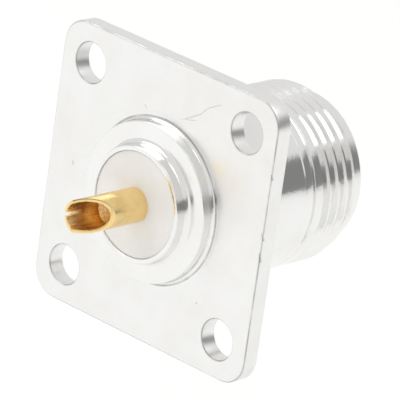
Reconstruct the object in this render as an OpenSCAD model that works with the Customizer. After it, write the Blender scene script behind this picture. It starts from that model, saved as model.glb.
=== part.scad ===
// N type panel receptacle: square four-hole flange, threaded coupling barrel and solder cup.
// Origin at the middle of the flange's panel face. +Y points out of the coupling end, +Z is up.

/* [Flange] */
// Side of the square flange
flange_w = 25; // [24:0.1:26.5]
// Thickness of the flange
flange_t = 1.6; // [1.2:0.1:2.5]
// Corner radius of the flange
flange_corner_r = 2.4; // [1.5:0.1:3]
// Edge break around the flange
flange_edge = 0.15; // [0.05:0.05:0.3]
// Spacing of the four screw holes, along X and along Z
hole_spacing = 18.3; // [17.6:0.1:18.6]
// Diameter of a screw hole
hole_d = 3.5; // [3:0.1:3.8]
// Edge break at each mouth of a screw hole
hole_edge = 0.12; // [0.05:0.01:0.25]

/* [Boss] */
// Diameter of the pilot step on the panel face
pilot_d = 13.8; // [13:0.1:14.6]
// Height of the pilot step
pilot_h = 1.12; // [0.8:0.02:1.4]
// Fillet at the foot of the pilot step
pilot_fillet = 0.35; // [0.2:0.05:0.5]
// Outer diameter of the collar around the insulator
collar_d = 10.04; // [9.8:0.02:10.6]
// Height of the collar above the panel face
collar_h = 2.32; // [2:0.02:2.8]
// Fillet at the foot of the collar
collar_fillet = 0.5; // [0.2:0.05:0.6]
// Edge break on turned edges
turned_edge = 0.08; // [0.04:0.01:0.12]

/* [Barrel] */
// Diameter of the neck between the flange and the thread
neck_d = 15.7; // [15.2:0.05:15.9]
// Distance of the scribed line from the panel face
scribe_y = 10.3; // [9:0.05:10.7]
// Depth of the scribed line
scribe_depth = 0.08; // [0.04:0.01:0.12]
// Distance from the panel face to the end of the neck
neck_end = 11.15; // [10.9:0.05:11.3]
// Diameter at the bottom of the groove behind the thread
relief_d = 15.1; // [14.4:0.05:15.4]
// Distance from the panel face to the land that starts the thread
thread_start = 11.5; // [11.4:0.05:11.9]
// Major diameter of the coupling thread, 5/8-24
thread_d = 15.7; // [15.65:0.01:15.86]
// Distance from the panel face to the last full crest
thread_end = 16.35; // [15.8:0.05:16.4]
// Diameter of the smooth lip in front of the thread
lip_d = 13.7; // [13.4:0.05:14.4]
// Distance from the panel face to the foot of the lip
lip_start = 16.7; // [16.55:0.05:17]
// Distance from the panel face to the front edge
front_y = 18.4; // [18:0.05:18.8]
// Chamfer on the outside of the front edge
lip_chamfer = 0.3; // [0.1:0.05:0.5]

/* [Interface] */
// Diameter of the mating bore
mating_bore_d = 8.1; // [8.03:0.01:8.13]
// Depth of the mating bore from the front edge to the reference plane
mating_depth = 9.12; // [9.07:0.01:9.19]
// Lead-in chamfer at the mouth of the mating bore
mouth_chamfer = 0.4; // [0.2:0.05:0.6]
// Inner diameter of the outer conductor behind the reference plane
line_bore_d = 7; // [6.9:0.02:7.1]
// Outer diameter of the socket contact
socket_d = 3.04; // [3:0.01:3.08]
// Bore of the socket contact
socket_bore_d = 1.65; // [1.6:0.01:1.7]
// Depth of the socket bore
socket_depth = 5.6; // [5:0.1:6]
// Distance of the socket's mouth in front of the reference plane
socket_reach = 4.9; // [4.75:0.05:5.26]
// Number of slots in the socket
slot_count = 4; // [4:1:4]
// Width of each slot
slot_w = 0.22; // [0.15:0.01:0.25]
// Length of each slot
slot_len = 4.6; // [3.5:0.1:4.8]

/* [Insulators] */
// Diameter of the insulator bore in the shell
insulator_d = 9.2; // [8.9:0.05:9.3]
// Depth of the insulator's face below the collar's rim
face_recess = 0.12; // [0.05:0.01:0.3]
// Distance from the panel face to the shoulder that stops the insulators
seat_y = 5.4; // [5:0.1:6]
// Distance from the panel face to the plane where the two insulators meet
split_y = 2.2; // [1.8:0.1:2.6]
// Play between a pressed insulator and its bore, on the radius
press_play = 0.01; // [0.005:0.005:0.03]

/* [Solder contact] */
// Diameter of the contact's shank and solder cup
shank_d = 3; // [2.9:0.02:3.04]
// Diameter of the captive shoulder between the insulators
shoulder_d = 4.4; // [4:0.1:5]
// Thickness of the captive shoulder
shoulder_t = 1.2; // [0.8:0.1:1.6]
// Depth of the groove turned on the shoulder's rim
shoulder_groove = 0.2; // [0.1:0.05:0.3]
// Distance of the cup's tip behind the panel face
cup_tip = 8.95; // [8:0.05:10]
// Bore of the solder cup
cup_bore_d = 2.44; // [2.2:0.02:2.5]
// Length of the scooped opening
scoop_len = 3; // [2.6:0.1:3.6]
// Depth of the cup's bore beyond the scoop
cup_extra = 0.7; // [0.4:0.1:1.2]
// Height of metal cut away past the axis at the tip
scoop_past_axis = 0.6; // [0.3:0.05:0.8]
// Radius of the cutter that makes the scoop
scoop_r = 16; // [12:1:30]
// Direction that the scoop faces, turned up from +X
scoop_turn = 6; // [-20:1:30]
// Width of the notch at the cup's tip
notch_w = 0.4; // [0.2:0.05:0.5]
// Depth of the notch at the cup's tip
notch_len = 0.55; // [0.3:0.05:0.7]

/* [Hidden] */
round_fn = 96;
small_fn = 48;
arc_steps = 8;
eps = 0.01;
over = 1;
drill_angle = 59;
flange_half = flange_w / 2;
hole_pos = hole_spacing / 2;
pilot_r = pilot_d / 2;
collar_r = collar_d / 2;
neck_r = neck_d / 2;
relief_r = relief_d / 2;
thread_r = thread_d / 2;
lip_r = lip_d / 2;
bore_r = insulator_d / 2;
plug_r = bore_r - press_play;
line_r = line_bore_d / 2;
mating_r = mating_bore_d / 2;
reference_y = front_y - mating_depth;
socket_tip = reference_y + socket_reach;
socket_r = socket_d / 2;
shank_r = shank_d / 2;
cup_r = cup_bore_d / 2;
shoulder_r = shoulder_d / 2;
shoulder_start = split_y - shoulder_t / 2;
shoulder_end = split_y + shoulder_t / 2;
face_y = -(collar_h - face_recess);
relief_mid = (neck_end + thread_start) / 2;
relief_flat = 0.04;
cup_end = -cup_tip + scoop_len;
cup_floor = cup_end + cup_extra;
drill_tip = cup_r / tan(drill_angle);

// Points of a concave quarter-round between two turned faces, from the wall to the flat
function hollow_arc(r, y, f) = [
    for (i = [0 : arc_steps])
        let (a = 180 - 90 * i / arc_steps)
        [r + f + f * cos(a), y - f + f * sin(a)]
];

// Outline of the turned body from the collar's rim to the front edge
function shell_outline() = concat(
    [
        [0, -collar_h],
        [collar_r - turned_edge, -collar_h],
        [collar_r, -collar_h + turned_edge]
    ],
    hollow_arc(collar_r, -pilot_h, collar_fillet),
    [
        [pilot_r - turned_edge, -pilot_h],
        [pilot_r, -pilot_h + turned_edge]
    ],
    hollow_arc(pilot_r, 0, pilot_fillet),
    [
        [pilot_r + pilot_fillet, flange_t / 2],
        [neck_r, flange_t / 2],
        [neck_r, scribe_y - scribe_depth],
        [neck_r - scribe_depth, scribe_y],
        [neck_r, scribe_y + scribe_depth],
        [neck_r, neck_end],
        [relief_r, relief_mid - relief_flat],
        [relief_r, relief_mid + relief_flat],
        [thread_r, thread_start],
        [thread_r, thread_end],
        [lip_r, lip_start],
        [lip_r, front_y - lip_chamfer],
        [lip_r - lip_chamfer, front_y],
        [0, front_y]
    ]
);

// Outline of the space turned out of the shell
function bore_outline() = [
    [0, -collar_h - over],
    [bore_r + turned_edge, -collar_h - over],
    [bore_r + turned_edge, -collar_h],
    [bore_r, -collar_h + turned_edge],
    [bore_r, seat_y],
    [line_r, seat_y],
    [line_r, reference_y],
    [mating_r, reference_y],
    [mating_r, front_y - mouth_chamfer],
    [mating_r + mouth_chamfer, front_y],
    [mating_r + mouth_chamfer, front_y + over],
    [0, front_y + over]
];

// Turns an outline of [radius, distance] points around the Y axis
module turned(points, fn = round_fn) {
    rotate([-90, 0, 0])
        rotate_extrude($fn = fn)
            polygon(points);
}

// Puts children at the four screw positions
module at_screws(reach) {
    for (sx = [-1, 1], sz = [-1, 1])
        translate([sx * reach, 0, sz * reach])
            children();
}

// Section of a flange bar, with its four edges broken
module bar_section() {
    polygon([
        [-flange_half + flange_edge, 0],
        [flange_half - flange_edge, 0],
        [flange_half, flange_edge],
        [flange_half, flange_t - flange_edge],
        [flange_half - flange_edge, flange_t],
        [-flange_half + flange_edge, flange_t],
        [-flange_half, flange_t - flange_edge],
        [-flange_half, flange_edge]
    ]);
}

// Square plate with round corners and broken edges
module flange_plate() {
    straight = flange_w - 2 * flange_corner_r;
    linear_extrude(height = straight, center = true)
        bar_section();
    rotate([0, 90, 0])
        linear_extrude(height = straight, center = true)
            bar_section();
    at_screws(flange_half - flange_corner_r)
        turned([
            [0, 0],
            [flange_corner_r - flange_edge, 0],
            [flange_corner_r, flange_edge],
            [flange_corner_r, flange_t - flange_edge],
            [flange_corner_r - flange_edge, flange_t],
            [0, flange_t]
        ], small_fn);
}

// Space of one screw hole, opened at both mouths
module screw_hole() {
    hole_r = hole_d / 2;
    turned([
        [0, -over],
        [hole_r + hole_edge, -over],
        [hole_r + hole_edge, 0],
        [hole_r, hole_edge],
        [hole_r, flange_t - hole_edge],
        [hole_r + hole_edge, flange_t],
        [hole_r + hole_edge, flange_t + over],
        [0, flange_t + over]
    ], small_fn);
}

// One brass piece: flange, stepped boss, neck and threaded barrel
module shell() {
    color("gainsboro")
    difference() {
        union() {
            flange_plate();
            turned(shell_outline());
        }
        turned(bore_outline());
        at_screws(hole_pos)
            screw_hole();
    }
}

// PTFE bush on the solder side, counterbored for half of the shoulder
module rear_insulator() {
    color("ivory")
    turned([
        [shank_r, face_y],
        [plug_r - turned_edge, face_y],
        [plug_r, face_y + turned_edge],
        [plug_r, split_y],
        [shoulder_r, split_y],
        [shoulder_r, shoulder_start],
        [shank_r, shoulder_start]
    ]);
}

// PTFE bead that stops on the shell's seat, counterbored for the other half of the shoulder
module front_insulator() {
    color("ivory")
    turned([
        [socket_r, shoulder_end],
        [shoulder_r, shoulder_end],
        [shoulder_r, split_y],
        [plug_r, split_y],
        [plug_r, seat_y],
        [line_r - press_play, seat_y],
        [line_r - press_play, reference_y - turned_edge],
        [line_r - press_play - turned_edge, reference_y],
        [socket_r, reference_y]
    ]);
}

// Outline of the contact from the cup's tip to the socket's mouth
function contact_outline() = [
    [0, -cup_tip],
    [shank_r - turned_edge, -cup_tip],
    [shank_r, -cup_tip + turned_edge],
    [shank_r, shoulder_start],
    [shoulder_r, shoulder_start],
    [shoulder_r, split_y - shoulder_groove],
    [shoulder_r - shoulder_groove, split_y],
    [shoulder_r, split_y + shoulder_groove],
    [shoulder_r, shoulder_end],
    [socket_r, shoulder_end],
    [socket_r, socket_tip - 2 * turned_edge],
    [socket_r - 2 * turned_edge, socket_tip],
    [0, socket_tip]
];

// Drilled space of the solder cup
module cup_bore() {
    turned([
        [0, -cup_tip - over],
        [cup_r, -cup_tip - over],
        [cup_r, cup_floor],
        [0, cup_floor + drill_tip]
    ], small_fn);
}

// Round cutter that opens the side of the cup, rising from past the axis to the shank's surface
module scoop_cutter() {
    rise = shank_r + scoop_past_axis;
    chord = sqrt(scoop_len * scoop_len + rise * rise);
    tilt = atan(rise / scoop_len);
    reach = sqrt(scoop_r * scoop_r - chord * chord / 4);
    rotate([0, -scoop_turn, 0])
        translate([
            (shank_r - scoop_past_axis) / 2 + reach * cos(tilt),
            -cup_tip + scoop_len / 2 - reach * sin(tilt),
            0
        ])
            cylinder(r = scoop_r, h = shank_d + 2 * over, center = true, $fn = round_fn);
}

// Notch at the cup's tip, opposite the scoop
module tip_notch() {
    rotate([0, -scoop_turn, 0])
        translate([-shank_d, -cup_tip - over, -notch_w / 2])
            cube([shank_d, over + notch_len, notch_w]);
}

// Drilled and slotted space of the socket
module socket_space() {
    bore = socket_bore_d / 2;
    turned([
        [0, socket_tip - socket_depth - bore / tan(drill_angle)],
        [bore, socket_tip - socket_depth],
        [bore, socket_tip - turned_edge],
        [bore + turned_edge, socket_tip],
        [bore + turned_edge, socket_tip + over],
        [0, socket_tip + over]
    ], small_fn);
    for (i = [0 : slot_count / 2 - 1])
        rotate([0, 45 + 360 * i / slot_count, 0])
            translate([-socket_d, socket_tip - slot_len, -slot_w / 2])
                cube([2 * socket_d, slot_len + over, slot_w]);
}

// One turned contact: solder cup, shank, captive shoulder and slotted socket
module centre_contact() {
    color("goldenrod")
    difference() {
        turned(contact_outline(), round_fn);
        cup_bore();
        scoop_cutter();
        tip_notch();
        socket_space();
    }
}

shell();
rear_insulator();
front_insulator();
centre_contact();
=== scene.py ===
"""N type panel receptacle: plated one-piece shell, PTFE insulators and a gold solder contact."""

import logging
import math
from dataclasses import dataclass
from enum import Enum
from typing import Any, Sequence

import bpy
from mathutils import Matrix, Vector


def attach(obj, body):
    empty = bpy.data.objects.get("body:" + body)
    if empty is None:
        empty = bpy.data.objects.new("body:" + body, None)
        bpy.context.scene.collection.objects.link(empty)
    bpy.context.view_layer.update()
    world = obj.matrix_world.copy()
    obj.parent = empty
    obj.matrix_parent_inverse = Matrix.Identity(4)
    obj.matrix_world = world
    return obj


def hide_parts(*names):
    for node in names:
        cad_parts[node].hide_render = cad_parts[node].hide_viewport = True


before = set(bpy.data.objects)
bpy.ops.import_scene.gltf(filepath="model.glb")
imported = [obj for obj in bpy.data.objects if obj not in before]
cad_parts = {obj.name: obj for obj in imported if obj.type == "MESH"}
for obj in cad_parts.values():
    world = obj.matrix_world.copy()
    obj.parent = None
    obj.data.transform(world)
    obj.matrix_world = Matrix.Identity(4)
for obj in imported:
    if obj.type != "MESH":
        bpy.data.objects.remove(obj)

MM = 0.001
LOG = logging.getLogger("receptacle")
Point = tuple[float, float]


# --- modelling at the bench -------------------------------------------------------------


@dataclass(frozen=True)
class Corner:
    """A corner of a turned outline, in millimetres: radius, distance along the axis, rounding."""

    r: float
    y: float
    blend: float = 0.0


class Cut(Enum):
    """How one solid works on another."""

    REMOVE = "DIFFERENCE"
    JOIN = "UNION"


def clear_selection() -> None:
    """Leaves edit mode and deselects every object."""
    if bpy.context.object is not None and bpy.context.object.mode != "OBJECT":
        bpy.ops.object.mode_set(mode="OBJECT")
    bpy.ops.object.select_all(action="DESELECT")


def pick(piece: bpy.types.Object) -> None:
    """Makes one object the only selected and active one."""
    clear_selection()
    piece.select_set(True)
    bpy.context.view_layer.objects.active = piece


def soften(corners: Sequence[Corner], steps: int = 5, closed: bool = True) -> list[Point]:
    """Turns corners into points, with an arc wherever a corner has a rounding.

    Args:
        corners: The outline's corners in order.
        steps: Segments in each arc.
        closed: Whether the last corner joins the first.

    Returns:
        The outline's points in millimetres.
    """
    points: list[Point] = []
    count = len(corners)
    for index, corner in enumerate(corners):
        at_end = not closed and index in (0, count - 1)
        here = Vector((corner.r, corner.y))
        if corner.blend <= 0 or at_end:
            points.append((here.x, here.y))
            continue
        previous = corners[index - 1]
        following = corners[(index + 1) % count]
        back = (Vector((previous.r, previous.y)) - here).normalized()
        ahead = (Vector((following.r, following.y)) - here).normalized()
        half = back.angle(ahead) / 2
        centre = here + (back + ahead).normalized() * corner.blend / math.sin(half)
        start = here + back * corner.blend / math.tan(half) - centre
        end = here + ahead * corner.blend / math.tan(half) - centre
        sweep = math.atan2(start.x * end.y - start.y * end.x, start.dot(end))
        for step in range(steps + 1):
            angle = sweep * step / steps
            spot = centre + Vector(
                (
                    start.x * math.cos(angle) - start.y * math.sin(angle),
                    start.x * math.sin(angle) + start.y * math.cos(angle),
                )
            )
            points.append((spot.x, spot.y))
    return points


def draw_outline(name: str, points: Sequence[Point]) -> bpy.types.Object:
    """Draws a chain of edges in the XY plane, starting from a plane merged to one vertex.

    Args:
        name: The new object's name.
        points: The chain's points in millimetres.

    Returns:
        The object, left in edit mode.
    """
    clear_selection()
    bpy.ops.mesh.primitive_plane_add(size=0.01, location=(0, 0, 0))
    piece = bpy.context.object
    piece.name = name
    bpy.ops.object.mode_set(mode="EDIT")
    bpy.ops.mesh.select_all(action="SELECT")
    bpy.ops.mesh.merge(type="CENTER")
    bpy.ops.transform.translate(value=(points[0][0], points[0][1], 0))
    for before, after in zip(points, points[1:]):
        step = (after[0] - before[0], after[1] - before[1], 0)
        bpy.ops.mesh.extrude_vertices_move(TRANSFORM_OT_translate={"value": step})
    return piece


def clean_mesh(piece: bpy.types.Object, merge: float = 0.0005) -> None:
    """Merges doubles and points every face outwards.

    Args:
        piece: The object to clean.
        merge: Distance under which vertices become one, in the object's own units.
    """
    pick(piece)
    bpy.ops.object.mode_set(mode="EDIT")
    bpy.ops.mesh.select_all(action="SELECT")
    bpy.ops.mesh.remove_doubles(threshold=merge)
    bpy.ops.mesh.normals_make_consistent(inside=False)
    bpy.ops.object.mode_set(mode="OBJECT")


def turn(name: str, points: Sequence[Point], steps: int) -> bpy.types.Object:
    """Spins an outline once around the Y axis, as on a lathe.

    Args:
        name: The new object's name.
        points: Radius and distance pairs in millimetres. Both ends meet, or both lie on the axis.
        steps: Facets around the axis.

    Returns:
        The turned solid, in millimetres.
    """
    piece = draw_outline(name, points)
    bpy.ops.mesh.select_all(action="SELECT")
    bpy.ops.mesh.spin(steps=steps, angle=2 * math.pi, center=(0, 0, 0), axis=(0, 1, 0))
    bpy.ops.object.mode_set(mode="OBJECT")
    clean_mesh(piece)
    return piece


def work(piece: bpy.types.Object, tool: bpy.types.Object, cut: Cut) -> None:
    """Applies one solid to another and throws the tool away.

    Args:
        piece: The solid that stays.
        tool: The solid that works on it.
        cut: What the tool does.
    """
    pick(piece)
    change = piece.modifiers.new(cut.name.lower(), "BOOLEAN")
    change.operation = cut.value
    change.solver = "EXACT"
    change.object = tool
    bpy.ops.object.modifier_apply(modifier=change.name)
    bpy.data.objects.remove(tool, do_unlink=True)


def break_edges(piece: bpy.types.Object, width: float, segments: int, angle: float) -> None:
    """Rounds every edge sharper than an angle.

    Args:
        piece: The object to work on.
        width: Rounding in the object's units.
        segments: Facets across the rounding.
        angle: The smallest angle that counts as an edge, in degrees.
    """
    pick(piece)
    change = piece.modifiers.new("edges", "BEVEL")
    change.width = width
    change.segments = segments
    change.limit_method = "ANGLE"
    change.angle_limit = math.radians(angle)
    change.use_clamp_overlap = True
    bpy.ops.object.modifier_apply(modifier=change.name)


def to_metres(piece: bpy.types.Object) -> None:
    """Scales a piece modelled in millimetres to metres, with its place in its mesh."""
    pick(piece)
    piece.scale = (MM, MM, MM)
    bpy.ops.object.transform_apply(location=True, rotation=True, scale=True)


def dress(piece: bpy.types.Object, finish: bpy.types.Material) -> None:
    """Gives a piece its finish in place of any other.

    Args:
        piece: The object to dress.
        finish: Its material.
    """
    piece.data.materials.clear()
    piece.data.materials.append(finish)
    LOG.info("dressed %s with %s", piece.name, finish.name)


def polish_shading(piece: bpy.types.Object, angle: float = 35.0) -> None:
    """Smooths the curved faces and keeps the flat ones flat.

    Args:
        piece: The object to shade.
        angle: The smallest angle that stays sharp, in degrees.
    """
    pick(piece)
    bpy.ops.object.shade_smooth_by_angle(angle=math.radians(angle))
    change = piece.modifiers.new("weigh", "WEIGHTED_NORMAL")
    change.keep_sharp = True
    change.weight = 60
    bpy.ops.object.modifier_apply(modifier=change.name)


# --- shading at the bench ---------------------------------------------------------------


class Desk:
    """Places and joins shader nodes in one tree."""

    def __init__(self, tree: bpy.types.NodeTree) -> None:
        """Keeps the tree that the nodes go in."""
        self.tree = tree

    def node(self, kind: str, **settings: Any) -> bpy.types.Node:
        """Adds a node and sets its properties."""
        made = self.tree.nodes.new(kind)
        for key, value in settings.items():
            setattr(made, key, value)
        return made

    def feed(self, socket: bpy.types.NodeSocket, value: Any) -> None:
        """Links a socket to another, or writes a plain value in it."""
        if isinstance(value, bpy.types.NodeSocket):
            self.tree.links.new(value, socket)
        else:
            socket.default_value = value

    def math(self, operation: str, *values: Any, clamp: bool = False) -> bpy.types.NodeSocket:
        """Adds a Math node.

        Args:
            operation: The node's operation.
            values: Sockets or numbers, in order.
            clamp: Whether the result stays from 0 to 1.

        Returns:
            The node's output.
        """
        made = self.node("ShaderNodeMath", operation=operation, use_clamp=clamp)
        for index, value in enumerate(values):
            self.feed(made.inputs[index], value)
        return made.outputs[0]

    def vector(self, operation: str, *values: Any) -> bpy.types.Node:
        """Adds a Vector Math node and returns it.

        Args:
            operation: The node's operation.
            values: Sockets or vectors, in order.

        Returns:
            The node.
        """
        made = self.node("ShaderNodeVectorMath", operation=operation)
        for index, value in enumerate(values):
            self.feed(made.inputs[index], value)
        return made

    def ramp(self, value: Any, low: float, high: float, start: float = 0.0, end: float = 1.0) -> Any:
        """Maps a value smoothly from one range to another.

        Args:
            value: The socket to map.
            low: Value that gives start.
            high: Value that gives end.
            start: Result at low.
            end: Result at high.

        Returns:
            The mapped socket.
        """
        made = self.node("ShaderNodeMapRange", interpolation_type="SMOOTHSTEP", clamp=True)
        for index, item in enumerate((value, low, high, start, end)):
            self.feed(made.inputs[index], item)
        return made.outputs[0]

    def noise(self, place: Any, scale: float, detail: float = 3.0, rough: float = 0.55) -> Any:
        """Adds a noise pattern and returns its value.

        Args:
            place: The point to read it at.
            scale: How fine it is.
            detail: How many finer layers it has.
            rough: How much the finer layers weigh.

        Returns:
            The pattern, from 0 to 1.
        """
        made = self.node("ShaderNodeTexNoise")
        self.feed(made.inputs["Vector"], place)
        made.inputs["Scale"].default_value = scale
        made.inputs["Detail"].default_value = detail
        made.inputs["Roughness"].default_value = rough
        return made.outputs["Fac"]

    def blend(self, factor: Any, first: Any, second: Any) -> bpy.types.NodeSocket:
        """Mixes two colours by a factor.

        Args:
            factor: 0 for the first, 1 for the second.
            first: A colour or a socket.
            second: A colour or a socket.

        Returns:
            The mixed colour.
        """
        made = self.node("ShaderNodeMix", data_type="RGBA")
        self.feed(made.inputs[0], factor)
        self.feed(made.inputs[6], first)
        self.feed(made.inputs[7], second)
        return made.outputs[2]

    def place(self) -> bpy.types.NodeSocket:
        """The point on the object, in metres."""
        return self.node("ShaderNodeTexCoord").outputs["Object"]

    def split(self, vector: Any) -> tuple[Any, Any, Any]:
        """The three parts of a vector."""
        made = self.node("ShaderNodeSeparateXYZ")
        self.feed(made.inputs[0], vector)
        return made.outputs[0], made.outputs[1], made.outputs[2]

    def join(self, x: Any, y: Any, z: Any) -> bpy.types.NodeSocket:
        """A vector from three parts."""
        made = self.node("ShaderNodeCombineXYZ")
        for index, item in enumerate((x, y, z)):
            self.feed(made.inputs[index], item)
        return made.outputs[0]

    def span(self, one: Any, two: Any) -> bpy.types.NodeSocket:
        """The length of a flat vector with two parts."""
        squares = self.math("ADD", self.math("MULTIPLY", one, one), self.math("MULTIPLY", two, two))
        return self.math("SQRT", squares)

    def relief(self, shader: bpy.types.Node, height: Any, strength: float, depth: float) -> None:
        """Presses a height pattern into a shader's normal.

        Args:
            shader: The material's Principled BSDF.
            height: The pattern.
            strength: How much of it shows.
            depth: The pattern's depth in metres.
        """
        bump = self.node("ShaderNodeBump")
        bump.inputs["Strength"].default_value = strength
        bump.inputs["Distance"].default_value = depth
        self.feed(bump.inputs["Height"], height)
        self.feed(shader.inputs["Normal"], bump.outputs[0])

    def effect(self, group: bpy.types.NodeTree, **values: Any) -> bpy.types.Node:
        """Places a shared effect with its own values.

        Args:
            group: The effect.
            values: Its inputs by name, with underscores for spaces.

        Returns:
            The group's node.
        """
        made = self.node("ShaderNodeGroup")
        made.node_tree = group
        for key, value in values.items():
            self.feed(made.inputs[key.replace("_", " ").capitalize()], value)
        return made


def new_effect(name: str, inputs: dict[str, Any], outputs: dict[str, str]) -> tuple[Any, Desk, Any, Any]:
    """Starts a node group with named sockets.

    Args:
        name: The group's name.
        inputs: Input names with their usual values. None makes a vector.
        outputs: Output names with their socket types.

    Returns:
        The group, a desk on it, and its input and output nodes.
    """
    group = bpy.data.node_groups.new(name, "ShaderNodeTree")
    for key, value in inputs.items():
        kind = "NodeSocketVector" if value is None else "NodeSocketFloat"
        socket = group.interface.new_socket(name=key, in_out="INPUT", socket_type=kind)
        if value is not None:
            socket.default_value = value
    for key, kind in outputs.items():
        group.interface.new_socket(name=key, in_out="OUTPUT", socket_type=kind)
    desk = Desk(group)
    return group, desk, desk.node("NodeGroupInput"), desk.node("NodeGroupOutput")


class Effects:
    """The effects that several finishes share, each built once."""

    def __init__(self) -> None:
        """Builds the groups."""
        self.turning = self.build_turning()
        self.hairlines = self.build_hairlines()
        self.score = self.build_score()
        self.mottle = self.build_mottle()

    def build_turning(self) -> bpy.types.NodeTree:
        """Fine rings that a lathe tool leaves, along the axis on walls and outwards on faces.

        Returns:
            The group.
        """
        group, desk, given, result = new_effect(
            "turning_marks", {"Place": None, "Pitch": 5000.0}, {"Height": "NodeSocketFloat"}
        )
        x, y, z = desk.split(given.outputs["Place"])
        radius = desk.span(x, z)
        along = desk.math("ADD", y, desk.math("MULTIPLY", radius, 0.83))
        made = desk.node("ShaderNodeTexNoise", noise_dimensions="1D")
        desk.feed(made.inputs["W"], desk.math("MULTIPLY", along, given.outputs["Pitch"]))
        made.inputs["Scale"].default_value = 1.0
        made.inputs["Detail"].default_value = 2.0
        desk.feed(result.inputs["Height"], made.outputs["Fac"])
        return group

    def build_hairlines(self) -> bpy.types.NodeTree:
        """Short hairline scratches in three directions, from handling.

        Returns:
            The group.
        """
        group, desk, given, result = new_effect(
            "hairlines", {"Place": None, "Amount": 0.5}, {"Mask": "NodeSocketFloat"}
        )
        total: Any = 0.0
        for turn_by, spread in ((0.4, 1.0), (1.5, 1.3), (2.5, 0.8)):
            spin = desk.node("ShaderNodeVectorRotate", rotation_type="Y_AXIS")
            desk.feed(spin.inputs["Vector"], given.outputs["Place"])
            spin.inputs["Angle"].default_value = turn_by
            stretched = desk.vector("MULTIPLY", spin.outputs[0], (9000.0 * spread, 1500.0, 420.0 * spread))
            grain = desk.noise(stretched.outputs[0], 1.0, 1.0, 0.4)
            edge = desk.math("SUBTRACT", 0.80, desk.math("MULTIPLY", given.outputs["Amount"], 0.12))
            line = desk.ramp(grain, edge, 0.86)
            total = desk.math("MAXIMUM", total, line)
        desk.feed(result.inputs["Mask"], total)
        return group

    def build_score(self) -> bpy.types.NodeTree:
        """One scored line on the flange's face, between two points of the XZ plane.

        Returns:
            The group.
        """
        group, desk, given, result = new_effect(
            "score_line",
            {"Place": None, "From x": 0.0, "From z": 0.0, "To x": 0.001, "To z": 0.0, "Width": 0.00008},
            {"Mask": "NodeSocketFloat"},
        )
        x, _, z = desk.split(given.outputs["Place"])
        dx = desk.math("SUBTRACT", given.outputs["To x"], given.outputs["From x"])
        dz = desk.math("SUBTRACT", given.outputs["To z"], given.outputs["From z"])
        px = desk.math("SUBTRACT", x, given.outputs["From x"])
        pz = desk.math("SUBTRACT", z, given.outputs["From z"])
        length = desk.math("ADD", desk.math("MULTIPLY", dx, dx), desk.math("MULTIPLY", dz, dz))
        along = desk.math(
            "DIVIDE", desk.math("ADD", desk.math("MULTIPLY", px, dx), desk.math("MULTIPLY", pz, dz)), length,
            clamp=True,
        )
        off_x = desk.math("SUBTRACT", px, desk.math("MULTIPLY", along, dx))
        off_z = desk.math("SUBTRACT", pz, desk.math("MULTIPLY", along, dz))
        far = desk.span(off_x, off_z)
        wander = desk.noise(given.outputs["Place"], 1800.0, 2.0)
        width = desk.math("MULTIPLY", given.outputs["Width"], desk.math("ADD", 0.35, wander))
        desk.feed(result.inputs["Mask"], desk.ramp(far, width, 0.0))
        return group

    def build_mottle(self) -> bpy.types.NodeTree:
        """Slow cloudy change over a plated or turned surface.

        Returns:
            The group.
        """
        group, desk, given, result = new_effect(
            "mottle", {"Place": None, "Scale": 260.0}, {"Cloud": "NodeSocketFloat"}
        )
        made = desk.node("ShaderNodeTexNoise")
        desk.feed(made.inputs["Vector"], given.outputs["Place"])
        desk.feed(made.inputs["Scale"], given.outputs["Scale"])
        made.inputs["Detail"].default_value = 4.0
        made.inputs["Roughness"].default_value = 0.6
        desk.feed(result.inputs["Cloud"], desk.ramp(made.outputs["Fac"], 0.3, 0.7))
        return group


def new_material(name: str) -> tuple[bpy.types.Material, Desk, bpy.types.Node]:
    """Makes an empty material with a Principled BSDF.

    Args:
        name: The material's name.

    Returns:
        The material, a desk on its tree, and the shader node.
    """
    made = bpy.data.materials.new(name)
    made.use_nodes = True
    made.node_tree.nodes.clear()
    desk = Desk(made.node_tree)
    shader = desk.node("ShaderNodeBsdfPrincipled")
    output = desk.node("ShaderNodeOutputMaterial")
    desk.feed(output.inputs["Surface"], shader.outputs[0])
    return made, desk, shader


@dataclass(frozen=True)
class Score:
    """A scratch on the panel face, in millimetres from the flange's middle."""

    from_x: float
    from_z: float
    to_x: float
    to_z: float
    width: float


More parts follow.
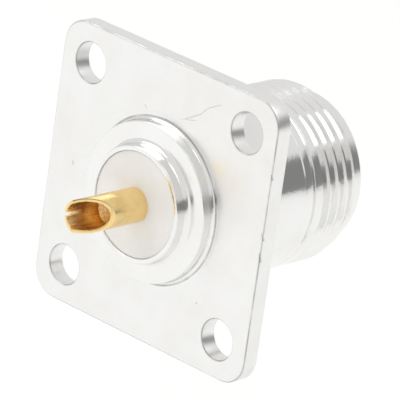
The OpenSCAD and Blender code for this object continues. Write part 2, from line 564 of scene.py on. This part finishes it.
@dataclass(frozen=True)
class SilverPlate:
    """Bright silver-coloured plating over turned brass."""

    tint: tuple[float, float, float, float] = (0.89, 0.89, 0.885, 1.0)
    dull: tuple[float, float, float, float] = (0.835, 0.83, 0.815, 1.0)
    wall_rough: float = 0.10
    face_rough: float = 0.30
    scores: tuple[Score, ...] = (
        Score(2.26, 8.04, 3.87, 8.98, 0.045),
        Score(3.87, 8.98, 4.67, 9.80, 0.055),
        Score(4.67, 9.80, 5.96, 10.5, 0.045),
        Score(1.7, 7.84, 3.4, 8.27, 0.035),
        Score(-2.43, 7.72, -2.14, 7.46, 0.05),
        Score(-9.72, 0.1, -9.62, -0.2, 0.09),
        Score(6.3, -6.86, 6.38, -6.94, 0.11),
        Score(12.32, 1.5, 12.5, 0.9, 0.1),
        Score(12.36, -0.3, 12.5, -1.0, 0.12),
        Score(12.4, 6.6, 12.5, 6.2, 0.1),
    )
    stain: tuple[float, float, float] = (6.46, 5.04, 1.3)
    stain_tint: tuple[float, float, float, float] = (0.92, 0.84, 0.66, 1.0)
    # painted shade: the dark colour laid along the panel face's rim, the holes' mouths and the step's foot
    edge_shade_tint: tuple[float, float, float, float] = (0.34, 0.335, 0.32, 1.0)
    scratch_tint: tuple[float, float, float, float] = (0.30, 0.29, 0.27, 1.0)
    hair_tint: tuple[float, float, float, float] = (0.62, 0.60, 0.56, 1.0)

    def painted_edge_shade_mask(self, desk: Desk, place: Any, body: "Shell") -> Any:
        """Finds the broken edges of the panel face, where painted shade darkens the plating.

        Args:
            desk: The material's desk.
            place: The point on the object.
            body: The shell's sizes.

        Returns:
            A painted shade mask that is 1 along the flange's rim, the holes' mouths and the step's foot.
        """
        x, y, z = desk.split(place)
        wide, high = desk.math("ABSOLUTE", x), desk.math("ABSOLUTE", z)
        reach = (body.flange_half - body.corner_r) * MM
        along = desk.math("MAXIMUM", desk.math("SUBTRACT", wide, reach), 0.0)
        up = desk.math("MAXIMUM", desk.math("SUBTRACT", high, reach), 0.0)
        rim = desk.vector("LENGTH", desk.join(along, up, 0.0)).outputs["Value"]
        edge = desk.ramp(rim, (body.corner_r - 0.15) * MM, (body.corner_r - 0.05) * MM)
        hole_x = desk.math("SUBTRACT", wide, body.hole_pos * MM)
        hole_z = desk.math("SUBTRACT", high, body.hole_pos * MM)
        hole = desk.vector("LENGTH", desk.join(hole_x, hole_z, 0.0)).outputs["Value"]
        mouth = desk.ramp(hole, (body.hole_r + 0.13) * MM, (body.hole_r + 0.04) * MM)
        axis = desk.vector("LENGTH", desk.join(x, 0.0, z)).outputs["Value"]
        off = desk.math("ABSOLUTE", desk.math("SUBTRACT", axis, (body.pilot_r + 0.3) * MM))
        foot = desk.ramp(off, 0.00013, 0.00004)
        lines = desk.math("MAXIMUM", edge, desk.math("MAXIMUM", mouth, foot))
        near = desk.math("MULTIPLY", desk.ramp(y, 0.00013, 0.00007), desk.ramp(y, -0.0003, -0.00015))
        uneven = desk.ramp(desk.noise(place, 420.0, 2.0), 0.25, 0.65, 0.35, 1.0)
        return desk.math("MULTIPLY", desk.math("MULTIPLY", lines, near), uneven)

    def material(self, effects: Effects, body: "Shell") -> bpy.types.Material:
        """Builds the plating.

        Args:
            effects: The shared effects.
            body: The shell's sizes.

        Returns:
            The material.
        """
        made, desk, shader = new_material("silver_plate")
        place = desk.place()
        x, y, z = desk.split(place)
        radius = desk.span(x, z)
        flange_edge = (body.pilot_r + 0.4) * MM
        bore_edge = (body.bore_r + 0.1) * MM
        outer = desk.ramp(radius, flange_edge, flange_edge + 0.0002)
        thin = desk.math("MULTIPLY", desk.ramp(y, -0.0001, -0.00002), desk.ramp(y, 0.0018, 0.0017))
        flange = desk.math("MULTIPLY", outer, thin)
        cloud = desk.effect(effects.mottle, place=place, scale=240.0).outputs[0]
        hair = desk.effect(effects.hairlines, place=place, amount=0.5).outputs[0]
        rings = desk.effect(effects.turning, place=place, pitch=9000.0).outputs[0]
        marks: Any = 0.0
        for score in self.scores:
            line = desk.effect(
                effects.score, place=place, from_x=score.from_x * MM, from_z=score.from_z * MM,
                to_x=score.to_x * MM, to_z=score.to_z * MM, width=score.width * MM,
            ).outputs[0]
            marks = desk.math("MAXIMUM", marks, line)
        marks = desk.math("MULTIPLY", marks, desk.math("MULTIPLY", flange, desk.ramp(y, 0.0003, 0.00015)))
        tone = desk.blend(desk.math("MULTIPLY", cloud, 0.55), self.tint, self.dull)
        tone = desk.blend(desk.math("MULTIPLY", hair, 0.25), tone, self.hair_tint)
        stain_x, stain_z, stain_r = (size * MM for size in self.stain)
        away = desk.vector("DISTANCE", place, (stain_x, 0.0, stain_z)).outputs["Value"]
        stained = desk.math("MULTIPLY", desk.ramp(away, stain_r, 0.0), 0.55)
        tone = desk.blend(stained, tone, self.stain_tint)
        # painted shade along the rim, the holes' mouths and the step's foot
        tone = desk.blend(desk.math("MULTIPLY", self.painted_edge_shade_mask(desk, place, body), 0.8), tone, self.edge_shade_tint)
        tone = desk.blend(desk.math("MULTIPLY", marks, 0.65), tone, self.scratch_tint)
        desk.feed(shader.inputs["Base Color"], tone)
        shader.inputs["Metallic"].default_value = 1.0
        rise = desk.math("MULTIPLY", flange, self.face_rough - self.wall_rough)
        base = desk.math("ADD", self.wall_rough, rise)
        rough = desk.math("ADD", base, desk.math("MULTIPLY", cloud, 0.05))
        rough = desk.math("ADD", rough, desk.math("MULTIPLY", hair, 0.12))
        rough = desk.math("ADD", rough, desk.ramp(radius, bore_edge, bore_edge - 0.0001, 0.0, 0.3))
        desk.feed(shader.inputs["Roughness"], rough)
        wall = desk.math("SUBTRACT", 1.0, flange)
        dimples = desk.effect(effects.mottle, place=place, scale=1100.0).outputs[0]
        turned = desk.math("ADD", desk.math("MULTIPLY", rings, 0.10), desk.math("MULTIPLY", dimples, 0.35))
        height = desk.math("SUBTRACT", desk.math("MULTIPLY", turned, wall), marks)
        height = desk.math("SUBTRACT", height, desk.math("MULTIPLY", hair, 0.12))
        desk.relief(shader, height, 0.5, 0.00002)
        return made


@dataclass(frozen=True)
class GoldPlate:
    """Gold plating over turned copper alloy, with painted shade inside the cup."""

    tint: tuple[float, float, float, float] = (0.93, 0.66, 0.28, 1.0)
    pale: tuple[float, float, float, float] = (0.97, 0.78, 0.42, 1.0)
    # painted shade inside the solder cup
    cup_shade_tint: tuple[float, float, float, float] = (0.74, 0.40, 0.15, 1.0)
    cup_radius: float = 0.00128
    cup_mouth: float = -0.0045

    def material(self, effects: Effects) -> bpy.types.Material:
        """Builds the plating.

        Args:
            effects: The shared effects.

        Returns:
            The material.
        """
        made, desk, shader = new_material("gold_plate")
        place = desk.place()
        x, y, z = desk.split(place)
        radius = desk.span(x, z)
        inside = desk.math(
            "MULTIPLY", desk.ramp(radius, self.cup_radius, self.cup_radius - 0.00004),
            desk.ramp(y, self.cup_mouth, self.cup_mouth - 0.0002),
        )
        cloud = desk.effect(effects.mottle, place=place, scale=900.0).outputs[0]
        rings = desk.effect(effects.turning, place=place, pitch=14000.0).outputs[0]
        drawn = desk.noise(desk.vector("MULTIPLY", place, (5200.0, 420.0, 5200.0)).outputs[0], 1.0, 3.0)
        streak = desk.ramp(drawn, 0.42, 0.66)
        tone = desk.blend(desk.math("MULTIPLY", cloud, 0.6), self.tint, self.pale)
        # painted shade inside the cup, streaked along the drawn tool marks
        dark = desk.math("MULTIPLY", inside, desk.math("ADD", 0.12, desk.math("MULTIPLY", streak, 0.62)))
        tone = desk.blend(dark, tone, self.cup_shade_tint)
        desk.feed(shader.inputs["Base Color"], tone)
        shader.inputs["Metallic"].default_value = 1.0
        rough = desk.math("ADD", 0.17, desk.math("MULTIPLY", cloud, 0.08))
        rough = desk.math("ADD", rough, desk.math("MULTIPLY", inside, 0.08))
        desk.feed(shader.inputs["Roughness"], rough)
        height = desk.math("ADD", desk.math("MULTIPLY", rings, 0.12), desk.math("MULTIPLY", streak, inside))
        desk.relief(shader, height, 0.5, 0.00003)
        return made


@dataclass(frozen=True)
class WhitePtfe:
    """Turned white PTFE, slightly warm, with faint rings from the tool."""

    tint: tuple[float, float, float, float] = (0.905, 0.90, 0.885, 1.0)
    shade: tuple[float, float, float, float] = (0.87, 0.86, 0.84, 1.0)

    def material(self, effects: Effects) -> bpy.types.Material:
        """Builds the plastic.

        Args:
            effects: The shared effects.

        Returns:
            The material.
        """
        made, desk, shader = new_material("white_ptfe")
        place = desk.place()
        cloud = desk.effect(effects.mottle, place=place, scale=420.0).outputs[0]
        rings = desk.effect(effects.turning, place=place, pitch=7000.0).outputs[0]
        desk.feed(shader.inputs["Base Color"], desk.blend(cloud, self.tint, self.shade))
        desk.feed(shader.inputs["Roughness"], desk.ramp(rings, 0.2, 0.8, 0.42, 0.56))
        shader.inputs["Specular IOR Level"].default_value = 0.4
        shader.inputs["Subsurface Weight"].default_value = 0.12
        shader.inputs["Subsurface Radius"].default_value = (1.0, 0.9, 0.8)
        shader.inputs["Subsurface Scale"].default_value = 0.0004
        desk.relief(shader, rings, 0.35, 0.00001)
        return made


# --- the pieces -------------------------------------------------------------------------


@dataclass
class Shell:
    """Flange, stepped boss, neck and threaded barrel, machined from one piece. Millimetres."""

    flange_half: float = 12.5
    flange_t: float = 1.6
    corner_r: float = 2.4
    edge: float = 0.15
    hole_pos: float = 9.15
    hole_r: float = 1.75
    hole_edge: float = 0.12
    collar_r: float = 5.02
    collar_h: float = 2.32
    pilot_r: float = 6.9
    pilot_h: float = 1.12
    bore_r: float = 4.6
    seat_y: float = 5.4
    line_r: float = 3.5
    reference_y: float = 9.28
    mating_r: float = 4.05
    neck_r: float = 7.85
    scribe_y: float = 10.3
    scribe_depth: float = 0.08
    neck_end: float = 11.15
    relief_r: float = 7.55
    land_y: float = 11.5
    thread_end: float = 16.35
    lip_r: float = 6.85
    lip_start: float = 16.7
    front_y: float = 18.4
    pitch: float = 25.4 / 24
    root_r: float = 7.2
    first_groove: float = 12.46
    mouth_chamfer: float = 0.4
    collar_fillet: float = 0.5
    pilot_fillet: float = 0.35
    relief_flat: float = 0.04
    core_r: float = 7.45
    foot_r: float = 8.15
    sink: float = 0.004
    root_flat: float = 0.06
    thread_runout: float = 17.3
    thread_turn: float = -130.0
    thread_steps: int = 96
    over: float = 0.1
    facets: int = 160

    def outline(self) -> list[Point]:
        """The turned outline, from the collar's rim to the front edge and back through the bore.

        Returns:
            A closed ring of points in millimetres.
        """
        middle = self.flange_t / 2
        back = self.flange_t - self.sink
        relief = (self.neck_end + self.land_y) / 2
        corners = [
            Corner(self.bore_r, -self.collar_h, 0.07),
            Corner(self.collar_r, -self.collar_h, 0.10),
            Corner(self.collar_r, -self.pilot_h, self.collar_fillet),
            Corner(self.pilot_r, -self.pilot_h, 0.09),
            Corner(self.pilot_r, self.sink, self.pilot_fillet),
            Corner(self.core_r, self.sink),
            Corner(self.core_r, middle),
            Corner(self.foot_r, middle),
            Corner(self.foot_r, back),
            Corner(self.neck_r, back, 0.25),
            Corner(self.neck_r, self.scribe_y - self.scribe_depth, 0.03),
            Corner(self.neck_r - self.scribe_depth, self.scribe_y),
            Corner(self.neck_r, self.scribe_y + self.scribe_depth, 0.03),
            Corner(self.neck_r, self.neck_end, 0.04),
            Corner(self.relief_r, relief - self.relief_flat, 0.03),
            Corner(self.relief_r, relief + self.relief_flat, 0.03),
            Corner(self.neck_r, self.land_y, 0.04),
            Corner(self.neck_r, self.thread_end, 0.05),
            Corner(self.lip_r, self.lip_start, 0.12),
            Corner(self.lip_r, self.front_y, 0.28),
            Corner(self.mating_r + self.mouth_chamfer, self.front_y, 0.08),
            Corner(self.mating_r, self.front_y - self.mouth_chamfer, 0.08),
            Corner(self.mating_r, self.reference_y, 0.05),
            Corner(self.line_r, self.reference_y, 0.05),
            Corner(self.line_r, self.seat_y),
            Corner(self.bore_r, self.seat_y),
        ]
        points = soften(corners)
        return points + points[:1]

    def drill(self) -> bpy.types.Object:
        """A drill bit that leaves a hole with softened mouths.

        Returns:
            The bit, around the Y axis.
        """
        edge, radius, thick = self.hole_edge, self.hole_r, self.flange_t
        arc = [
            (radius + edge - edge * math.sin(a), edge - edge * math.cos(a))
            for a in (math.radians(15 * step) for step in range(7))
        ]
        far = [(r, thick - y) for r, y in reversed(arc)]
        wide = radius + edge
        points = [(0.0, -1.0), (wide, -1.0)] + arc + far + [(wide, thick + 1.0), (0.0, thick + 1.0)]
        return turn("drill", points, 72)

    def plate(self) -> bpy.types.Object:
        """The square flange with round corners, soft edges and four holes.

        Returns:
            The plate in millimetres.
        """
        clear_selection()
        side = self.flange_half * 2
        size = (side, self.flange_t, side)
        bpy.ops.mesh.primitive_cube_add(size=1, location=(0, self.flange_t / 2, 0), scale=size)
        plate = bpy.context.object
        plate.name = "plate"
        bpy.ops.object.transform_apply(location=True, rotation=True, scale=True)
        bpy.ops.object.mode_set(mode="EDIT")
        bpy.ops.mesh.select_mode(type="EDGE")
        bpy.ops.mesh.select_all(action="DESELECT")
        bpy.ops.object.mode_set(mode="OBJECT")
        for line in plate.data.edges:
            one, two = (plate.data.vertices[v].co for v in line.vertices)
            line.select = abs((one - two).y) > self.flange_t / 2
        bpy.ops.object.mode_set(mode="EDIT")
        bpy.ops.mesh.bevel(offset=self.corner_r, segments=16, affect="EDGES")
        bpy.ops.mesh.select_mode(type="VERT")
        bpy.ops.object.mode_set(mode="OBJECT")
        break_edges(plate, self.edge, 4, 50)
        for sx in (-1, 1):
            for sz in (-1, 1):
                bit = self.drill()
                bit.location = (sx * self.hole_pos, 0, sz * self.hole_pos)
                pick(bit)
                bpy.ops.object.transform_apply(location=True)
                work(plate, bit, Cut.REMOVE)
        return plate

    def thread_tool(self) -> bpy.types.Object:
        """The path of a 60 degree threading tool: a helical ridge that is cut from the barrel.

        Returns:
            The ridge as a closed solid.
        """
        flank = math.tan(math.radians(30))
        outer = self.neck_r + self.over
        flat = self.root_flat
        wide = flat + (outer - self.root_r) * flank
        section = [(self.root_r, flat), (self.root_r, -flat), (outer, -wide), (outer, wide)]
        tool = draw_outline("thread_tool", section)
        bpy.ops.mesh.select_all(action="SELECT")
        bpy.ops.mesh.edge_face_add()
        bpy.ops.object.mode_set(mode="OBJECT")
        turns = (self.thread_runout - self.first_groove) / self.pitch
        change = tool.modifiers.new("helix", "SCREW")
        change.axis = "Y"
        change.angle = 2 * math.pi * turns
        change.screw_offset = self.pitch * turns
        change.steps = change.render_steps = int(turns * self.thread_steps)
        change.use_merge_vertices = False
        pick(tool)
        bpy.ops.object.modifier_apply(modifier=change.name)
        bpy.ops.object.mode_set(mode="EDIT")
        bpy.ops.mesh.select_all(action="SELECT")
        bpy.ops.mesh.remove_doubles(threshold=0.0005)
        bpy.ops.mesh.fill_holes(sides=4)
        bpy.ops.mesh.normals_make_consistent(inside=False)
        bpy.ops.object.mode_set(mode="OBJECT")
        tool.location = (0, self.first_groove, 0)
        tool.rotation_euler = (0, math.radians(self.thread_turn), 0)
        bpy.ops.object.transform_apply(location=True, rotation=True)
        return tool

    def build(self, finish: bpy.types.Material) -> bpy.types.Object:
        """Models the shell and dresses it.

        Args:
            finish: The plating.

        Returns:
            The finished piece.
        """
        body = turn("shell_body", self.outline(), self.facets)
        work(body, self.thread_tool(), Cut.REMOVE)
        work(body, self.plate(), Cut.JOIN)
        clean_mesh(body, 0.0008)
        to_metres(body)
        polish_shading(body)
        dress(body, finish)
        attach(body, "root")
        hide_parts("shell")
        return body


@dataclass
class Contact:
    """Solder cup, shank, captive shoulder and slotted socket, turned from one bar. Millimetres."""

    shank_r: float = 1.5
    cup_r: float = 1.22
    tip: float = -8.95
    cup_floor: float = -5.25
    drill_tip: float = 0.733
    shoulder_r: float = 2.2
    shoulder_start: float = 1.6
    shoulder_end: float = 2.8
    groove: float = 0.2
    socket_r: float = 1.52
    socket_tip: float = 14.18
    socket_bore: float = 0.825
    socket_floor: float = 8.58
    slot_len: float = 4.6
    slot_w: float = 0.22
    scoop_len: float = 3.0
    scoop_past: float = 0.6
    scoop_r: float = 16.0
    scoop_turn: float = 6.0
    notch_w: float = 0.4
    notch_len: float = 0.55

    def outline(self) -> list[Point]:
        """From the cup's floor, over the outside, to the floor of the socket's bore.

        Returns:
            An open chain of points.
        """
        middle = (self.shoulder_start + self.shoulder_end) / 2
        corners = [
            Corner(0.0, self.cup_floor + self.drill_tip),
            Corner(self.cup_r, self.cup_floor, 0.1),
            Corner(self.cup_r, self.tip, 0.06),
            Corner(self.shank_r, self.tip, 0.09),
            Corner(self.shank_r, self.shoulder_start),
            Corner(self.shoulder_r, self.shoulder_start, 0.05),
            Corner(self.shoulder_r, middle - self.groove),
            Corner(self.shoulder_r - self.groove, middle),
            Corner(self.shoulder_r, middle + self.groove),
            Corner(self.shoulder_r, self.shoulder_end, 0.05),
            Corner(self.socket_r, self.shoulder_end),
            Corner(self.socket_r, self.socket_tip, 0.2),
            Corner(self.socket_bore, self.socket_tip, 0.1),
            Corner(self.socket_bore, self.socket_floor, 0.05),
            Corner(0.0, self.socket_floor - 0.5),
        ]
        return soften(corners, closed=False)

    def scoop(self) -> bpy.types.Object:
        """The round cutter that opens the side of the cup.

        Returns:
            The cutter in millimetres.
        """
        rise = self.shank_r + self.scoop_past
        chord = math.hypot(self.scoop_len, rise)
        tilt = math.atan2(rise, self.scoop_len)
        reach = math.sqrt(self.scoop_r**2 - chord**2 / 4)
        clear_selection()
        bpy.ops.mesh.primitive_cylinder_add(
            vertices=512,
            radius=self.scoop_r,
            depth=6,
            location=(
                (self.shank_r - self.scoop_past) / 2 + reach * math.cos(tilt),
                self.tip + self.scoop_len / 2 - reach * math.sin(tilt),
                0,
            ),
        )
        return self.turned_up(bpy.context.object)

    def turned_up(self, tool: bpy.types.Object) -> bpy.types.Object:
        """Turns a tool with the scoop's direction, about the contact's axis.

        Args:
            tool: The tool to turn.

        Returns:
            The same tool.
        """
        pick(tool)
        bpy.ops.object.transform_apply(location=True, rotation=True, scale=True)
        tool.rotation_euler = (0, math.radians(-self.scoop_turn), 0)
        bpy.ops.object.transform_apply(rotation=True)
        return tool

    def block(self, centre: tuple[float, float, float], size: tuple[float, float, float]) -> bpy.types.Object:
        """A saw cut as a block, with its place in its mesh.

        Args:
            centre: Its middle.
            size: Its sides.

        Returns:
            The block.
        """
        clear_selection()
        bpy.ops.mesh.primitive_cube_add(size=1, location=centre, scale=size)
        tool = bpy.context.object
        bpy.ops.object.transform_apply(location=True, rotation=True, scale=True)
        return tool

    def build(self, finish: bpy.types.Material) -> bpy.types.Object:
        """Models the contact and dresses it.

        Args:
            finish: The plating.

        Returns:
            The finished piece.
        """
        bar = turn("contact_bar", self.outline(), 96)
        work(bar, self.scoop(), Cut.REMOVE)
        notch = self.block((-1.5, self.tip, 0), (2.0, 2 * self.notch_len, self.notch_w))
        work(bar, self.turned_up(notch), Cut.REMOVE)
        for angle in (45, 135):
            slot = self.block((0, self.socket_tip, 0), (6, 2 * self.slot_len, self.slot_w))
            slot.rotation_euler = (0, math.radians(angle), 0)
            bpy.ops.object.transform_apply(rotation=True)
            work(bar, slot, Cut.REMOVE)
        clean_mesh(bar, 0.001)
        break_edges(bar, 0.035, 2, 38)
        to_metres(bar)
        polish_shading(bar)
        dress(bar, finish)
        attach(bar, "root")
        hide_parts("centre_contact")
        return bar


@dataclass(frozen=True)
class Insulators:
    """The two PTFE pieces, which keep their turned solids."""

    names: tuple[str, ...] = ("rear_insulator", "front_insulator")

    def build(self, finish: bpy.types.Material) -> None:
        """Gives both pieces their plastic."""
        for name in self.names:
            dress(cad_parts[name], finish)


# --- the studio -------------------------------------------------------------------------


@dataclass(frozen=True)
class Lamp:
    """A large soft square lamp, in metres and watts, that looks at the object."""

    name: str
    place: tuple[float, float, float]
    size: float
    power: float


@dataclass
class Studio:
    """Pale floor, soft tent of light and the camera."""

    azimuth: float = 41.58
    elevation: float = 20.18
    roll: float = 8.13
    distance: float = 0.3905
    aim: tuple[float, float, float] = (0.00274, 0.0027, 0.00054)
    lens: float = 422.0
    floor_z: float = -0.034
    floor_tint: tuple[float, float, float, float] = (0.97, 0.97, 0.965, 1.0)
    floor_pale: tuple[float, float, float, float] = (0.985, 0.985, 0.98, 1.0)
    tent_tint: tuple[float, float, float, float] = (1.0, 0.995, 0.985, 1.0)
    tent_light: float = 0.81
    tent_shade: float = 0.70
    lamps: tuple[Lamp, ...] = (
        Lamp("key", (-0.35, -0.25, 0.55), 0.45, 1.1),
        Lamp("top", (0.25, 0.15, 0.6), 0.4, 0.7),
    )

    def camera(self) -> None:
        """Sets up the camera with a long lens, turned a little about its own axis."""
        az, el, roll = (math.radians(a) for a in (self.azimuth, self.elevation, self.roll))
        back = Vector((math.sin(az) * math.cos(el), -math.cos(az) * math.cos(el), math.sin(el)))
        side = Vector((math.cos(az), math.sin(az), 0.0))
        up = back.cross(side)
        right = side * math.cos(roll) + up * math.sin(roll)
        top = up * math.cos(roll) - side * math.sin(roll)
        data = bpy.data.cameras.new("camera")
        data.sensor_width = 36.0
        data.lens = self.lens
        data.clip_start = 0.01
        data.clip_end = 20.0
        camera = bpy.data.objects.new("camera", data)
        bpy.context.scene.collection.objects.link(camera)
        turned = Matrix((right, top, back)).transposed().to_4x4()
        camera.matrix_world = Matrix.Translation(Vector(self.aim) + back * self.distance) @ turned
        bpy.context.scene.camera = camera

    def floor(self) -> None:
        """A wide pale floor that keeps the object's shadow."""
        clear_selection()
        bpy.ops.mesh.primitive_plane_add(size=6.0, location=(0, 0, self.floor_z))
        floor = bpy.context.object
        floor.name = "floor"
        made, desk, shader = new_material("pale_floor")
        grain = desk.noise(desk.place(), 40.0, 2.0)
        desk.feed(shader.inputs["Base Color"], desk.blend(grain, self.floor_tint, self.floor_pale))
        shader.inputs["Roughness"].default_value = 0.9
        shader.inputs["Specular IOR Level"].default_value = 0.1
        floor.data.materials.append(made)

    def tent(self) -> None:
        """A pale tent of light with one darker opening low on the right."""
        world = bpy.data.worlds.new("tent")
        bpy.context.scene.world = world
        world.use_nodes = True
        world.node_tree.nodes.clear()
        desk = Desk(world.node_tree)
        x, y, z = desk.split(desk.node("ShaderNodeTexCoord").outputs["Generated"])
        centre = desk.math("ADD", 0.09, desk.math("MULTIPLY", y, 0.18))
        off = desk.math("ABSOLUTE", desk.math("SUBTRACT", z, centre))
        band = desk.math("MULTIPLY", desk.ramp(off, 0.29, 0.20), desk.ramp(x, 0.32, 0.5))
        level = desk.math("SUBTRACT", 1.0, desk.math("MULTIPLY", band, self.tent_shade))
        sky = desk.node("ShaderNodeBackground")
        desk.feed(sky.inputs["Color"], desk.blend(level, (0.0, 0.0, 0.0, 1.0), self.tent_tint))
        sky.inputs["Strength"].default_value = self.tent_light
        output = desk.node("ShaderNodeOutputWorld")
        desk.feed(output.inputs["Surface"], sky.outputs[0])

    def hang(self, lamp: Lamp) -> None:
        """Hangs a lamp in the studio.

        Args:
            lamp: Its place, size and power.
        """
        data = bpy.data.lights.new(lamp.name, "AREA")
        data.size = lamp.size
        data.energy = lamp.power
        hung = bpy.data.objects.new(lamp.name, data)
        bpy.context.scene.collection.objects.link(hung)
        spot = Vector(lamp.place)
        hung.matrix_world = Matrix.Translation(spot) @ spot.to_track_quat("Z", "Y").to_matrix().to_4x4()

    def build(self) -> None:
        """Puts up floor, light and camera."""
        self.floor()
        self.tent()
        for lamp in self.lamps:
            self.hang(lamp)
        bpy.context.scene.view_settings.view_transform = "Standard"
        self.camera()


def main() -> None:
    """Builds the part in order, then the studio."""
    logging.basicConfig(level=logging.INFO, format="%(name)s: %(message)s")
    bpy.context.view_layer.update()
    effects = Effects()
    form = Shell()
    shell = form.build(SilverPlate().material(effects, form))
    LOG.info("built %s with %d faces", shell.name, len(shell.data.polygons))
    contact = Contact().build(GoldPlate().material(effects))
    LOG.info("built %s with %d faces", contact.name, len(contact.data.polygons))
    Insulators().build(WhitePtfe().material(effects))
    Studio().build()


if __name__ == "__main__":
    main()
